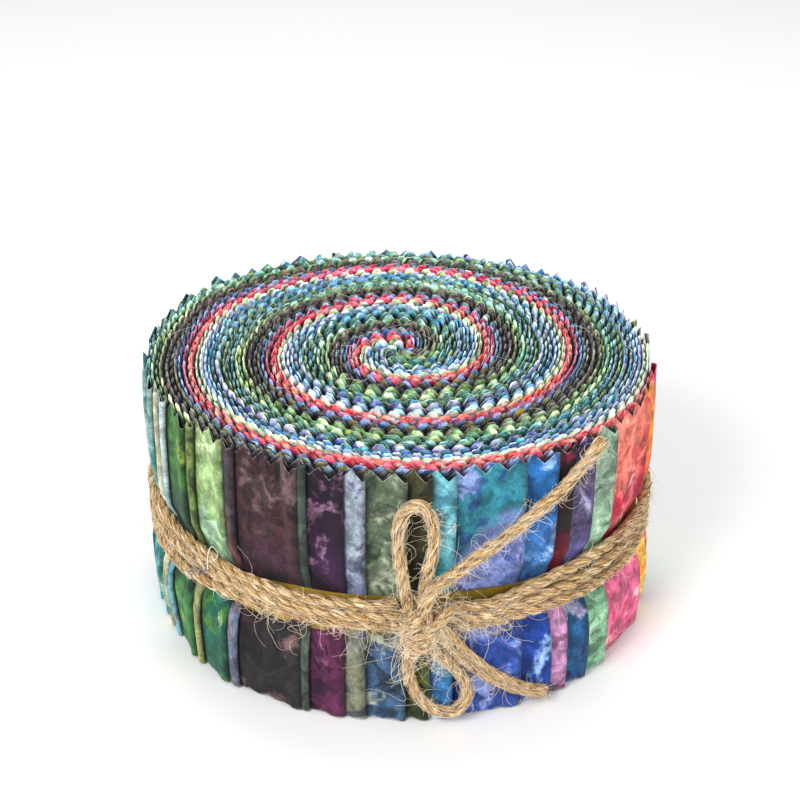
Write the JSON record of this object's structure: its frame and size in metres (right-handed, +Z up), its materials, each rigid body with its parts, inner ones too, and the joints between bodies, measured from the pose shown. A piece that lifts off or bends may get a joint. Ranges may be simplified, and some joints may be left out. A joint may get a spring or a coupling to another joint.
{
  "type": "roll of pinked cotton strips tied with twine",
  "caption": "Wound roll of folded, pinked cotton strips with a ribbon and three turns of jute twine round its waist, tied in a bow.",
  "frame": {"origin": "centre of the flat base, on the surface that the roll stands on", "axes": "+Z up along the roll's axis, -Y towards the bow, +X to the right when facing the bow"},
  "size_m": [0.1208, 0.1275, 0.0637],
  "materials": {
    "fabric": "printed plain-weave cotton in mottled dyed colours, pinked edges",
    "ribbon": "smooth olive gold ribbon",
    "twine": "two-ply natural jute twine with loose fibres"
  },
  "bodies": {
    "root": {"fabric_roll": "fabric", "retaining_ribbon": "ribbon", "twine_wraps": "twine", "knot": "twine", "bow_loop_upper": "twine", "bow_loop_lower": "twine", "tail_upper": "twine", "tail_lower": "twine"}
  },
  "joints": []
}
